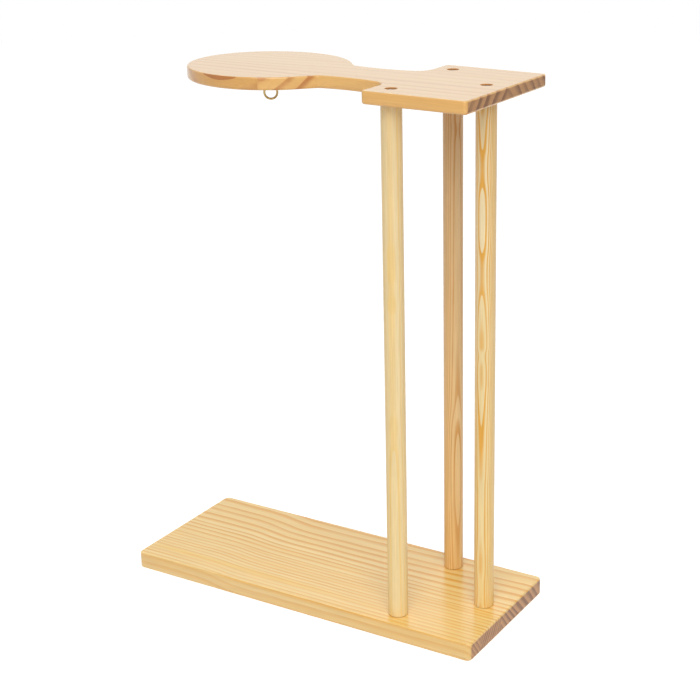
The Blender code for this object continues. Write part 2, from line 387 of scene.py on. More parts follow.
def mixed(tree, amount, first, second, kind="RGBA", blend="MIX"):
    first_slot, second_slot, result = {"RGBA": (6, 7, 2), "FLOAT": (2, 3, 0)}[kind]
    inputs = {0: amount, first_slot: first, second_slot: second}
    made = add_node(tree, "ShaderNodeMix", inputs, data_type=kind)
    if kind == "RGBA":
        made.blend_type = blend
    return made.outputs[result]


def sawn_pine_group():
    """Pine with the grain along X. It is given how many growth rings lie between each point and
    the pith. Each ring is pale earlywood that darkens into a band of latewood and ends sharply.
    Where the surface cuts the grain across, the end mask brings in the end-grain colours."""
    group, given = new_tree(
        "sawn_pine",
        "ShaderNodeTree",
        {
            "Vector": ["Place"],
            "Float": ["Rings", "Wander", "Late Share", "Boldness", "Seed", "End Mask"],
            "Color": ["Earlywood", "Shade", "Latewood", "End Pale", "End Dark"],
        },
        {"Color": ["Color"], "Float": ["Roughness", "Height"]},
    )

    def stretched_noise(along, across, detail, seed_shift):
        spread = vector_math(group, "MULTIPLY", given["Place"], (along, across, across))
        seed = sum_of(group, given["Seed"], seed_shift)
        inputs = {"Vector": spread, "W": seed, "Scale": 1.0, "Detail": detail}
        return add_node(group, "ShaderNodeTexNoise", inputs, noise_dimensions="4D").outputs[0]

    slow = difference(group, stretched_noise(5.0, 14.0, 1.0, 0.0), 0.5)
    slow = product(group, slow, given["Wander"])
    quick = difference(group, stretched_noise(24.0, 60.0, 2.0, 3.7), 0.5)
    quick = product(group, quick, given["Wander"])
    rings = sum_of(group, given["Rings"], slow)
    rings = calculate(group, "MULTIPLY_ADD", quick, 0.5, rings)

    part = calculate(group, "FRACT", rings)
    share = given["Late Share"]
    start = calculate(group, "MULTIPLY_ADD", share, -1.7, 1.0)
    peak = calculate(group, "MULTIPLY_ADD", share, -0.35, 1.0)
    fall = soft_ramp(group, part, 0.95, 1.0, 1.0, 0.0)
    late = product(group, soft_ramp(group, part, start, peak), fall)
    fading = soft_ramp(group, stretched_noise(9.0, 40.0, 1.0, 8.1), 0.3, 0.7, 0.6, 1.0)
    fading = product(group, fading, given["Boldness"])
    late = product(group, late, fading, clamp=True)

    band = soft_ramp(group, stretched_noise(4.0, 110.0, 2.0, 5.3), 0.3, 0.7)
    fibre = stretched_noise(28.0, 1100.0, 3.0, 1.9)
    ground = mixed(group, band, given["Earlywood"], given["Shade"])
    face = mixed(group, late, ground, given["Latewood"])
    fibre_tone = ramp(group, fibre, 0.25, 0.75, 0.90, 1.07)
    face = mixed(group, 1.0, face, fibre_tone, blend="MULTIPLY")

    pores = ramp(group, stretched_noise(500.0, 900.0, 2.0, 2.6), 0.3, 0.7, 0.86, 1.1)
    end_start = calculate(group, "MULTIPLY_ADD", share, -2.3, 1.0)
    end_late = product(group, soft_ramp(group, part, end_start, peak), fall)
    end_late = product(group, end_late, fading)
    end_late = product(group, end_late, 1.2, clamp=True)
    end = mixed(group, end_late, given["End Pale"], given["End Dark"])
    end = mixed(group, 1.0, end, pores, blend="MULTIPLY")
    color = mixed(group, given["End Mask"], face, end)

    gloss = calculate(group, "MULTIPLY_ADD", fibre, 0.10, 0.38)
    rough = calculate(group, "MULTIPLY_ADD", given["End Mask"], 0.12, gloss)
    height = calculate(group, "MULTIPLY_ADD", late, 0.8, fibre)
    add_node(group, "NodeGroupOutput", {"Color": color, "Roughness": rough, "Height": height})
    return group


sawn_pine = sawn_pine_group()
wood_looks = {"Color": "RGBA", "Roughness": "FLOAT", "Height": "FLOAT"}
pine_colors = {
    "Earlywood": (0.960, 0.700, 0.285, 1.0),
    "Shade": (0.930, 0.625, 0.205, 1.0),
    "Latewood": (0.830, 0.420, 0.060, 1.0),
    "End Pale": (0.700, 0.400, 0.190, 1.0),
    "End Dark": (0.360, 0.190, 0.100, 1.0),
}
end_coat_loss = 0.8
glue_line = 0.0002


def split_xyz(tree, vector):
    return add_node(tree, "ShaderNodeSeparateXYZ", {0: vector}).outputs


def join_xyz(tree, **parts):
    return add_node(tree, "ShaderNodeCombineXYZ", parts).outputs[0]


def facing_mask(tree, normal, axis, low, high):
    """1 where the surface faces along the axis, either way, and 0 where it lies along it."""
    size = calculate(tree, "ABSOLUTE", vector_math(tree, "DOT_PRODUCT", normal, axis))
    return soft_ramp(tree, size, low, high)


def give_surface(tree, inputs):
    shader = add_node(tree, "ShaderNodeBsdfPrincipled", inputs)
    add_node(tree, "ShaderNodeOutputMaterial", {"Surface": shader.outputs[0]})


def lacquered(tree, wood, tint, coat):
    """The wood's looks, tinted, under a clear satin lacquer."""
    relief = {"Height": wood["Height"], "Strength": 0.3, "Distance": 0.0001}
    give_surface(
        tree,
        {
            "Base Color": mixed(tree, 1.0, wood["Color"], tint, blend="MULTIPLY"),
            "Roughness": wood["Roughness"],
            "Specular IOR Level": 0.2,
            "Normal": add_node(tree, "ShaderNodeBump", relief).outputs[0],
            "Coat Weight": coat,
            "Coat Roughness": 0.22,
        },
    )


def joined(tree, value, border, first, second):
    """Two woods' looks on either side of a glue line, the first below it."""
    mask = ramp(tree, value, border - glue_line, border + glue_line)
    return {
        look: mixed(tree, mask, first[look], second[look], kind)
        for look, kind in wood_looks.items()
    }


def hand_drawn(tree, value, points, handles="AUTO_CLAMPED"):
    """A curve through given points of (value, result)."""
    places, results = zip(*points)
    low, high = places[0], places[-1]
    least = min(results)
    spread = max(results) - least or 1.0
    curve = add_node(tree, "ShaderNodeFloatCurve", {"Value": ramp(tree, value, low, high)})
    line = curve.mapping.curves[0]
    placed = [((at - low) / (high - low), (result - least) / spread) for at, result in points]
    line.points[0].location = placed[0]
    line.points[1].location = placed[-1]
    for point in placed[1:-1]:
        line.points.new(*point)
    for point in line.points:
        point.handle_type = handles
    curve.mapping.update()
    return calculate(tree, "MULTIPLY_ADD", curve.outputs[0], spread, least)


def pine_strip(tree, spot, split, top_z, ends, shift, bold, colors, values):
    """One glued strip of a board. Its growth rings are sheets that lean, and they cross the top
    face along lines at the given places across the board, each with its own boldness."""
    values = dict(values)
    lines = values.pop("lines")
    depth = difference(tree, split["Z"], top_z)
    across = calculate(tree, "MULTIPLY_ADD", depth, values.pop("lean"), split["Y"])
    across = difference(tree, across, shift)
    way = values.pop("growth", 1)
    numbers = [(at, way * number) for number, (at, _) in enumerate(lines)]
    inputs = {
        **colors,
        **values,
        "Place": spot["Object"],
        "Rings": hand_drawn(tree, across, numbers, "VECTOR"),
        "Boldness": product(tree, hand_drawn(tree, across, lines, "VECTOR"), bold),
        "End Mask": ends,
    }
    return add_node(tree, "ShaderNodeGroup", inputs, node_tree=sawn_pine).outputs


base_strips = {
    "front": {
        "lean": 0.7,
        "lines": [
            (-0.0970, 0.3), (-0.0910, 0.4), (-0.0850, 0.4), (-0.0790, 0.6), (-0.0730, 0.6),
            (-0.0670, 0.5), (-0.0605, 0.5), (-0.0540, 0.4), (-0.0470, 0.5),
        ],
        "Late Share": 0.40, "Wander": 0.5, "Seed": 2.0,
    },
    "middle": {
        "lean": -0.62,
        "lines": [
            (-0.0610, 0.5), (-0.0550, 0.6), (-0.0500, 0.5), (-0.0445, 0.7), (-0.0395, 0.7),
            (-0.0335, 0.4), (-0.0280, 0.6), (-0.0225, 0.7), (-0.0175, 0.4), (-0.0120, 0.6),
            (-0.0070, 0.6), (-0.0010, 0.6),
        ],
        "Late Share": 0.42, "Wander": 0.6, "Seed": 11.0,
    },
    "back": {
        "lean": 0.78,
        "lines": [
            (-0.0350, 0.6), (-0.0280, 0.7), (-0.0210, 0.6), (-0.0130, 0.8), (-0.0050, 0.8),
            (0.0020, 1.0), (0.0080, 0.8), (0.0180, 1.2), (0.0285, 1.0), (0.0400, 0.8),
            (0.0500, 0.9), (0.0650, 0.8), (0.0760, 1.2), (0.0880, 0.8),
        ],
        "Late Share": 0.34, "Wander": 0.5, "Seed": 23.0,
    },
}
base_strip_borders = (-0.057, -0.0145)
base_far_edges = (0.0, 0.05)
base_rise = [(-0.195, 0.0050), (-0.14, 0.0050), (-0.06, 0.0), (0.08, 0.0), (0.195, 0.001)]
base_far_rise = [(-0.195, 0.0045), (-0.14, 0.0040), (-0.06, 0.0), (0.0, 0.0), (0.195, 0.007)]
base_boldness = 1.5
# Painted shade: the base's side faces and roundings are multiplied by this, so they are darker than
# its top.
base_side_painted_shade = (0.87, 0.84, 0.89, 1.0)
yellow_streak = (1.0, 0.95, 0.62, 1.0)
streak_across = [(-0.062, 0.0), (-0.0575, 1.0), (-0.0545, 1.0), (-0.052, 0.0)]
streak_along = [(-0.2, 0.2), (-0.16, 0.8), (-0.07, 0.8), (0.06, 0.1), (0.2, 0.0)]


def base_pine_material():
    material, tree = blank_material("base_pine")
    spot = add_node(tree, "ShaderNodeTexCoord").outputs
    split = split_xyz(tree, spot["Object"])
    ends = facing_mask(tree, spot["Normal"], (1.0, 0.0, 0.0), 0.90, 0.99)
    flat = facing_mask(tree, spot["Normal"], (0.0, 0.0, 1.0), 0.75, 0.98)
    far = ramp(tree, split["Y"], *base_far_edges)
    far_rise = hand_drawn(tree, split["X"], base_far_rise)
    rise = hand_drawn(tree, split["X"], base_rise)
    shift = calculate(tree, "MULTIPLY_ADD", far_rise, far, rise)
    wood, *others = [
        pine_strip(tree, spot, split, base_high.z, ends, shift, base_boldness, pine_colors, values)
        for values in base_strips.values()
    ]
    for border, other in zip(base_strip_borders, others):
        wood = joined(tree, split["Y"], border, wood, other)
    fade = product(tree, hand_drawn(tree, split["X"], streak_along), flat)
    streak = hand_drawn(tree, split["Y"], streak_across)
    streak = product(tree, streak, fade)
    # Painted shade darkens the side faces here. The yellow streak is the wood's own colour.
    tint = mixed(tree, streak, mixed(tree, flat, base_side_painted_shade, white), yellow_streak)
    lacquered(tree, wood, tint, calculate(tree, "MULTIPLY_ADD", ends, -end_coat_loss, 1.0))
    return material


def speckle(tree, scale, detail):
    """Fine noise all through the piece."""
    spot = add_node(tree, "ShaderNodeTexCoord").outputs["Object"]
    inputs = {"Vector": spot, "Scale": scale, "Detail": detail}
    return add_node(tree, "ShaderNodeTexNoise", inputs).outputs[0]


hole_mouth_colors = ((0.660, 0.290, 0.070, 1.0), (0.400, 0.150, 0.035, 1.0))
# Painted shade: the holes' walls go near black a little way in from the mouth.
hole_painted_shade_color = (0.070, 0.035, 0.020, 1.0)
hole_painted_shade_depths = (0.0004, 0.0016)


def bored_pine_material():
    """The walls of the screw holes: torn by the bit and soaked orange by the lacquer at the mouth,
    with painted shade, a near-black brown, further in. The holes open in the lowest and the highest
    face."""
    material, tree = blank_material("bored_pine")
    half_height = cad_box[1][2] / 2
    height = split_xyz(tree, add_node(tree, "ShaderNodeTexCoord").outputs["Object"])["Z"]
    from_middle = calculate(tree, "ABSOLUTE", difference(tree, height, half_height))
    depth = difference(tree, half_height, from_middle)
    color = mixed(tree, speckle(tree, 900.0, 3.0), *hole_mouth_colors)
    color = mixed(tree, ramp(tree, depth, *hole_painted_shade_depths), color, hole_painted_shade_color)
    give_surface(tree, {"Base Color": color, "Roughness": 0.75})
    return material


bored_pine = bored_pine_material()
base_panel = rounded_board(
    "base_panel", base_outline, base_low.z, base_high.z, base_edge_radius, base_edge_radius
)
base_holes = countersinks(base_low.z, base_high.z, base_countersink_diameter)
base_board = link_object("base_panel", base_panel)
base_board.data.materials.append(base_pine_material())
cut_holes(base_board, base_holes, bored_pine)
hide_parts("base_board")
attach(base_board, "root")

# The top board. Pale pine sawn to a round plate, a neck with hollowed sides and a square plate
# over the posts, with small roundings along its edges. It is glued up from a front and a back
# strip, and the front strip has an end joint near the screw eye.
disc_length = 0.1645
disc_width = 0.155
disc_flank_angle = math.radians(48)
neck_waist = 0.060
neck_side_radius = 0.170
disc_to_neck_waist = 0.108
disc_fillet_radius = 0.003
plate_fillet_radius = 0.015
plate_length = 0.1085
plate_corner_radius = 0.004
top_upper_edge_radius = 0.0018
top_lower_edge_radius = 0.0024
top_countersink_diameter = 0.012
disc_steps = 96
eye_bore_diameter = 0.0034
eye_bore_depth = 0.0101

top_low, top_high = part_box("top_board")
disc_x = top_low.x + disc_length / 2
plate_inner_x = top_high.x - plate_length


def disc_edge(inset):
    """The slightly oval plate's edge, from its far end to where the straight flank leaves it."""
    half_length = disc_length / 2 - inset
    half_width = disc_width / 2 - inset
    flank_slope = half_width * math.cos(disc_flank_angle)
    leave = -math.atan2(flank_slope, half_length * math.sin(disc_flank_angle))
    turns = [-math.pi + (leave + math.pi) * i / disc_steps for i in range(disc_steps + 1)]
    return [(disc_x + half_length * math.cos(a), half_width * math.sin(a)) for a in turns]


def line_meets_circle(start, way, center, radius):
    offset = start - center
    back = offset.dot(way)
    return start + way * (math.sqrt(back**2 - offset.length_squared + radius**2) - back)


def top_outline(inset):
    hollow = Vector((disc_x + disc_to_neck_waist, -neck_waist / 2 - neck_side_radius))
    flank = Vector((math.cos(disc_flank_angle), math.sin(disc_flank_angle)))
    outwards = Vector((flank.y, -flank.x))
    disc_fillet = line_meets_circle(
        Vector(disc_edge(0.0)[-1]) + outwards * disc_fillet_radius,
        flank,
        hollow,
        neck_side_radius - disc_fillet_radius,
    )
    fillet_x = plate_inner_x - plate_fillet_radius
    reach = math.sqrt((neck_side_radius - plate_fillet_radius) ** 2 - (fillet_x - hollow.x) ** 2)
    plate_fillet = Vector((fillet_x, hollow.y + reach))
    meet_hollow = math.atan2(*(disc_fillet - hollow).yx)
    leave_hollow = math.atan2(*(plate_fillet - hollow).yx)
    corner = plate_corner_radius
    corner_y = top_low.y + corner
    half = disc_edge(inset)
    bend = disc_fillet_radius + inset
    half += arc(disc_fillet, bend, disc_flank_angle + math.pi / 2, meet_hollow, corner_steps)
    half += arc(hollow, neck_side_radius + inset, meet_hollow, leave_hollow, 2 * corner_steps)[1:]
    half += arc(plate_fillet, plate_fillet_radius + inset, leave_hollow, 0, corner_steps)[1:]
    for center_x, turn in ((plate_inner_x + corner, math.pi), (top_high.x - corner, 1.5 * math.pi)):
        half += arc((center_x, corner_y), corner - inset, turn, turn + math.pi / 2, corner_steps)
    return half + [(x, -y) for x, y in reversed(half[1:])]


top_strips = {
    "front_left": {
        "lean": -0.8,
        "lines": [
            (-0.0900, 0.5), (-0.0726, 1.3), (-0.0580, 0.5), (-0.0440, 0.4), (-0.0290, 0.5),
            (-0.0140, 0.4), (0.0000, 0.5), (0.0140, 0.5),
        ],
        "Late Share": 0.30, "Wander": 0.25, "Seed": 31.0,
    },
    "front_right": {
        "lean": -0.8,
        "growth": -1,
        "lines": [
            (-0.0860, 0.5), (-0.0700, 0.5), (-0.0540, 1.0), (-0.0400, 1.6), (-0.0240, 1.2),
            (-0.0100, 1.2), (0.0030, 1.0), (0.0160, 0.8),
        ],
        "Late Share": 0.32, "Wander": 0.20, "Seed": 45.0,
    },
    "back": {
        "lean": 0.85,
        "lines": [
            (-0.0220, 0.6), (-0.0080, 0.8), (0.0070, 0.9), (0.0210, 0.6), (0.0360, 0.9),
            (0.0480, 0.6), (0.0610, 1.0), (0.0760, 0.6), (0.0900, 0.6),
        ],
        "Late Share": 0.32, "Wander": 0.25, "Seed": 52.0,
    },
}
top_pine_colors = {
    "Earlywood": (0.785, 0.497, 0.187, 1.0),
    "Shade": (0.755, 0.447, 0.148, 1.0),
    "Latewood": (0.520, 0.215, 0.045, 1.0),
    "End Pale": (0.510, 0.285, 0.145, 1.0),
    "End Dark": (0.240, 0.120, 0.062, 1.0),
}
# Partly the side grain's deeper orange under the lacquer, and partly painted shade: the board's
# side faces are darker than its top, and those left of the end joint are darker still.
top_side_tints_and_painted_shade = ((0.84, 0.70, 0.48, 1.0), (0.95, 0.86, 0.68, 1.0))
top_face_boldness = 0.36
end_joint_x = -0.0277
top_strip_border = -0.002
top_far_edges = (-0.03, 0.02)
top_near_rise = [(-0.140, 0.0015), (-0.088, 0.0005), (-0.067, -0.0004), (-0.045, -0.0024)]
top_far_rise = [(-0.14, -0.012), (-0.06, -0.002), (0.02, 0.010), (0.10, 0.012), (0.20, 0.012)]
neck_calm = [(0.0, 1.0), (0.010, 1.0), (0.020, 0.15), (0.085, 0.15), (0.100, 1.0), (0.2, 1.0)]
knot_center = (-0.0245, -0.0685, 0.5488)
knot_spread = (190.0, 70.0, 330.0)
knot_strength = 0.85
knot_color = (0.560, 0.230, 0.055, 1.0)


def top_pine_material():
    material, tree = blank_material("top_pine")
    spot = add_node(tree, "ShaderNodeTexCoord").outputs
    split = split_xyz(tree, spot["Object"])
    ends = facing_mask(tree, spot["Normal"], (1.0, 0.0, 0.0), 0.93, 1.0)
    flat = facing_mask(tree, spot["Normal"], (0.0, 0.0, 1.0), 0.75, 0.98)
    calm = hand_drawn(tree, split["X"], neck_calm)
    bold = mixed(tree, flat, calm, top_face_boldness, "FLOAT")
    far = ramp(tree, split["Y"], *top_far_edges)
    far_shift = product(tree, hand_drawn(tree, split["X"], top_far_rise), far)
    near_shift = hand_drawn(tree, split["X"], top_near_rise)
    shifts = (sum_of(tree, near_shift, far_shift), far_shift, far_shift)
    left, right, back = (
        pine_strip(tree, spot, split, top_high.z, ends, shift, bold, top_pine_colors, values)
        for shift, values in zip(shifts, top_strips.values())
    )
    past_joint = ramp(tree, split["X"], end_joint_x - glue_line, end_joint_x + glue_line)
    joint = calculate(tree, "MAXIMUM", past_joint, flat)
    front = joined(tree, joint, 0.5, left, right)
    wood = joined(tree, split["Y"], top_strip_border, front, back)
    # Painted shade on the side faces, together with their deeper orange.
    side_tint_and_painted_shade = mixed(tree, flat, mixed(tree, joint, *top_side_tints_and_painted_shade), white)
    from_knot = vector_math(tree, "SUBTRACT", spot["Object"], knot_center)
    reach = vector_math(tree, "LENGTH", vector_math(tree, "MULTIPLY", from_knot, knot_spread))
    knot = soft_ramp(tree, reach, 1.0, 0.5, 0.0, knot_strength)
    beside_joint = product(tree, joint, difference(tree, 1.0, flat))
    knot = product(tree, knot, beside_joint)
    tinted = mixed(tree, 1.0, wood["Color"], side_tint_and_painted_shade, blend="MULTIPLY")
    wood["Color"] = mixed(tree, knot, tinted, knot_color)
    lacquered(tree, wood, white, calculate(tree, "MULTIPLY_ADD", ends, -end_coat_loss, 1.0))
    return material


shaped_top = rounded_board(
    "shaped_top",
    top_outline,
    top_low.z,
    top_high.z,
    top_lower_edge_radius,
    top_upper_edge_radius,
)
top_holes = countersinks(top_high.z, top_low.z, top_countersink_diameter)
eye_bore_heights = (top_low.z - hole_overrun, top_low.z + eye_bore_depth)
eye_bore = round_cutter((disc_x, 0.0), [(eye_bore_diameter / 2, z) for z in eye_bore_heights])
top_board = link_object("shaped_top", shaped_top)
top_board.data.materials.append(top_pine_material())
cut_holes(top_board, top_holes + [eye_bore], bored_pine)
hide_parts("top_board")
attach(top_board, "root")

# The posts. Three lengths of 20 mm pine dowel stand between the boards, a pair side by side and
# one behind them, each held by a screw in both ends. Every dowel was turned from other timber,
# so its pith lies elsewhere and the rings that run out at its surface draw other figures.
dowel_sizes = {
    "Chamfer": 0.0005,
    "Bore Radius": 0.0023,
    "Top Bore Depth": 0.0342,
    "Base Bore Depth": 0.0334,
}
post_sides = 128
seam_gap = 1e-6


def wrapping_grid(tree, sides, rows):
    """A grid to wrap round Z, with each point's turn round it and the number of its row."""
    columns = sum_of(tree, sides, 1.0)
    inputs = {"Size X": 1.0, "Size Y": 1.0, "Vertices X": columns, "Vertices Y": rows}
    grid = add_node(tree, "GeometryNodeMeshGrid", inputs).outputs["Mesh"]
    split = split_xyz(tree, add_node(tree, "GeometryNodeInputPosition").outputs[0])
    turn = product(tree, sum_of(tree, split["X"], 0.5), 2 * math.pi)
    up_grid = sum_of(tree, split["Y"], 0.5)
    last_row = difference(tree, rows, 1.0)
    row = calculate(tree, "ROUND", product(tree, up_grid, last_row))
    return grid, turn, row, last_row


def profile_point(tree, row, profile):
    """The two numbers that the profile holds for a row: its radius and its height."""
    picked = []
    for numbers in zip(*profile):
        chosen = add_node(tree, "GeometryNodeIndexSwitch", data_type="FLOAT")
        while len(chosen.index_switch_items) < len(profile):
            chosen.index_switch_items.new()
        connect(tree, chosen, {0: row, **dict(enumerate(numbers, 1))})
        picked.append(chosen.outputs[0])
    return picked


def wrapped(tree, grid, turn, radius, height, place):
    """The grid wrapped round Z at the place, with its seam and its poles closed."""
    across = product(tree, radius, calculate(tree, "COSINE", turn))
    aside = product(tree, radius, calculate(tree, "SINE", turn))
    spot = vector_math(tree, "ADD", join_xyz(tree, X=across, Y=aside, Z=height), place)
    shaped = add_node(tree, "GeometryNodeSetPosition", {"Geometry": grid, "Position": spot})
    inputs = {"Geometry": shaped.outputs[0], "Distance": seam_gap}
    return add_node(tree, "GeometryNodeMergeByDistance", inputs).outputs[0]


def finish_tree(tree, geometry, material):
    real = add_node(tree, "GeometryNodeRealizeInstances", {"Geometry": geometry})
    inputs = {"Geometry": real.outputs[0], "Material": material}
    finished = add_node(tree, "GeometryNodeSetMaterial", inputs)
    add_node(tree, "NodeGroupOutput", {"Geometry": finished.outputs[0]})
    return tree


def dowel_tree():
    """A turned dowel with a bore in each end: a grid wrapped round Z, whose rows follow the
    profile from one bore's bottom, out over the surface, to the other's."""
    tree, given = new_tree(
        "turned_dowel",
        "GeometryNodeTree",
        {
            "Vector": ["Place"],
            "Float": ["Radius", "Length", *dowel_sizes],
            "Int": ["Sides"],
            "Material": ["Material"],
        },
        {"Geometry": ["Geometry"]},
    )
    narrow = difference(tree, given["Radius"], given["Chamfer"])
    upper_edge = difference(tree, given["Length"], given["Chamfer"])
    upper_bore = difference(tree, given["Length"], given["Top Bore Depth"])
    profile = [
        (0.0, given["Base Bore Depth"]),
        (given["Bore Radius"], given["Base Bore Depth"]),
        (given["Bore Radius"], 0.0),
        (narrow, 0.0),
        (given["Radius"], given["Chamfer"]),
        (given["Radius"], upper_edge),
        (narrow, given["Length"]),
        (given["Bore Radius"], given["Length"]),
        (given["Bore Radius"], upper_bore),
        (0.0, upper_bore),
    ]
    grid, turn, row, _ = wrapping_grid(tree, given["Sides"], len(profile))
    radius, height = profile_point(tree, row, profile)
    dowel = wrapped(tree, grid, turn, radius, height, given["Place"])
    return finish_tree(tree, dowel, given["Material"])


def run_tree(name, tree, values, mesh=None):
    """Runs a tree as a modifier and returns its result as a plain object."""
    thing = link_object(name, mesh or bpy.data.meshes.new(name))
    step = thing.modifiers.new("build", "NODES")
    step.node_group = tree
    for item in tree.interface.items_tree:
        if item.in_out == "INPUT" and item.name in values:
            step[item.identifier] = values[item.name]
    graph = bpy.context.evaluated_depsgraph_get()
    made = bpy.data.meshes.new_from_object(thing.evaluated_get(graph))
    made.name = name
    thing.modifiers.clear()
    shape = bmesh.new()
    shape.from_mesh(made)
    bmesh.ops.remove_doubles(shape, verts=shape.verts, dist=seam_gap)
    bmesh.ops.recalc_face_normals(shape, faces=shape.faces)
    shape.to_mesh(made)
    shape.free()
    smooth(made)
    thing.data = made
    return thing


turned_dowel = dowel_tree()
post_coat = 0.3
# Each post's head tint is painted shade and its foot tint is painted light, so every post grows
# lighter towards its foot.
dowel_timber = {
    "front": {
        "pith_turn": -71, "rings_to_pith": 24, "ring_width": 0.0026,
        "head_tint": (0.96, 0.96, 0.96, 1.0),
        "foot_tint": (1.09, 1.08, 0.98, 1.0),
        "figure": [
            (0.018, 0.32), (0.060, 0.28), (0.150, 0.18), (0.198, 0.00), (0.210, -0.12),
            (0.223, -0.03), (0.240, -0.22), (0.335, -0.22), (0.347, -0.05), (0.362, -0.20),
            (0.377, -0.06), (0.395, -0.05), (0.410, -0.20), (0.537, -0.30),
        ],
        "Late Share": 0.30, "Wander": 0.08,
        "Boldness": 0.6, "Seed": 61.0,
        "Earlywood": (0.830, 0.650, 0.370, 1.0),
        "Shade": (0.800, 0.600, 0.310, 1.0),
        "Latewood": (0.830, 0.520, 0.120, 1.0),
    },
    "back": {
        "pith_turn": -33, "rings_to_pith": 40, "ring_width": 0.0016,
        "head_tint": (0.88, 0.88, 0.94, 1.0),
        "foot_tint": (1.20, 1.22, 1.10, 1.0),
        "figure": [
            (0.018, 1.65), (0.030, 1.70), (0.070, 2.00), (0.120, 2.30), (0.173, 2.00),
            (0.215, 1.00), (0.300, 0.50), (0.480, 0.12), (0.493, 0.00), (0.506, 0.10),
            (0.537, 0.00),
        ],
        "Late Share": 0.30, "Wander": 0.10,
        "Boldness": 1.1, "Seed": 72.0,
        "Earlywood": (0.770, 0.525, 0.265, 1.0),
        "Shade": (0.740, 0.480, 0.225, 1.0),
        "Latewood": (0.620, 0.300, 0.085, 1.0),
    },
    "end": {
        "pith_turn": -82, "rings_to_pith": 55, "ring_width": 0.0011,
        "head_tint": (0.97, 0.95, 0.95, 1.0),
        "foot_tint": (1.09, 1.04, 0.88, 1.0),
        "figure": [
            (0.018, -0.35), (0.040, -0.60), (0.053, -0.50), (0.068, -0.35), (0.083, -0.45),
            (0.115, -0.60), (0.145, -0.60), (0.165, -0.40), (0.190, -0.25), (0.222, 0.00),
            (0.250, 0.35), (0.275, 0.60), (0.290, 0.35), (0.300, 0.75), (0.318, 0.60),
            (0.335, 0.35), (0.351, 0.00), (0.373, -0.30), (0.393, 0.00), (0.425, 0.35),
            (0.455, 0.00), (0.474, -0.30), (0.492, 0.00), (0.515, 0.30), (0.527, 0.60),
            (0.537, 0.75),
        ],
        "Late Share": 0.40, "Wander": 0.08,
        "Boldness": 1.3, "Seed": 83.0,
        "Earlywood": (0.840, 0.715, 0.460, 1.0),
        "Shade": (0.800, 0.630, 0.320, 1.0),
        "Latewood": (0.740, 0.380, 0.060, 1.0),
    },
}


def post_pine_material(side, low, high):
    """The figure gives, at each height, how far in rings the surface has grown past a whole
    ring, along the line that faces away from the pith."""
    values = dict(dowel_timber[side])
    turn = math.radians(values.pop("pith_turn"))
    ring_width = values.pop("ring_width")
    distance = values.pop("rings_to_pith") * ring_width - (high.x - low.x) / 2
    middle = (low + high) / 2
    material, tree = blank_material(f"post_pine_{side}")
    spot = add_node(tree, "ShaderNodeTexCoord").outputs
    split = split_xyz(tree, spot["Object"])
    across = difference(tree, split["X"], middle.x - distance * math.cos(turn))
    aside = difference(tree, split["Y"], middle.y - distance * math.sin(turn))
    radius = vector_math(tree, "LENGTH", join_xyz(tree, X=across, Y=aside))
    figure = hand_drawn(tree, split["Z"], values.pop("figure"))
    height = ramp(tree, split["Z"], low.z, high.z)
    # Painted light: a tint from the darker head down to the lighter foot.
    tint = mixed(tree, height, values.pop("foot_tint"), values.pop("head_tint"))
    inputs = {
        **pine_colors,
        **values,
        "Place": join_xyz(tree, X=split["Z"], Y=split["X"], Z=split["Y"]),
        "Rings": calculate(tree, "MULTIPLY_ADD", radius, 1 / ring_width, figure),
        "End Mask": facing_mask(tree, spot["Normal"], (0.0, 0.0, 1.0), 0.70, 0.95),
    }
    wood = add_node(tree, "ShaderNodeGroup", inputs, node_tree=sawn_pine).outputs
    lacquered(tree, wood, tint, post_coat)
    return material


for post_side, post_node in post_nodes.items():
    post_low, post_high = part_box(post_node)
    post = run_tree(
        f"dowel_{post_side}",
        turned_dowel,
        {
            **dowel_sizes,
            "Place": (*post_spots[post_side], post_low.z),
            "Radius": (post_high.x - post_low.x) / 2,
            "Length": post_high.z - post_low.z,
            "Sides": post_sides,
            "Material": post_pine_material(post_side, post_low, post_high),
        },
    )
    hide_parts(post_node)
    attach(post, "root")

# The wood screws. Six countersunk screws of zinc-plated steel go down through the top board and
# up through the base board into the posts. Each has a cross recess, a cut thread with a plain
# root, and a point.
screw_sizes = {
    "Head Radius": 0.0039,
    "Head Rim": 0.0003,
    "Core Radius": 0.00135,
    "Thread Depth": 0.00065,
    "Pitch": 0.0022,
    "Thread Length": 0.026,
    "Point Length": 0.005,
    "Recess Span": 0.0044,
    "Recess Slot": 0.0010,
    "Recess Depth": 0.0015,
}
screw_counts = {"Sides": 24, "Rows": 150}
screw_ridge_slope = 1.6
zinc_colors = ((0.330, 0.300, 0.290, 1.0), (0.560, 0.530, 0.500, 1.0))
zinc_roughness = (0.30, 0.50)


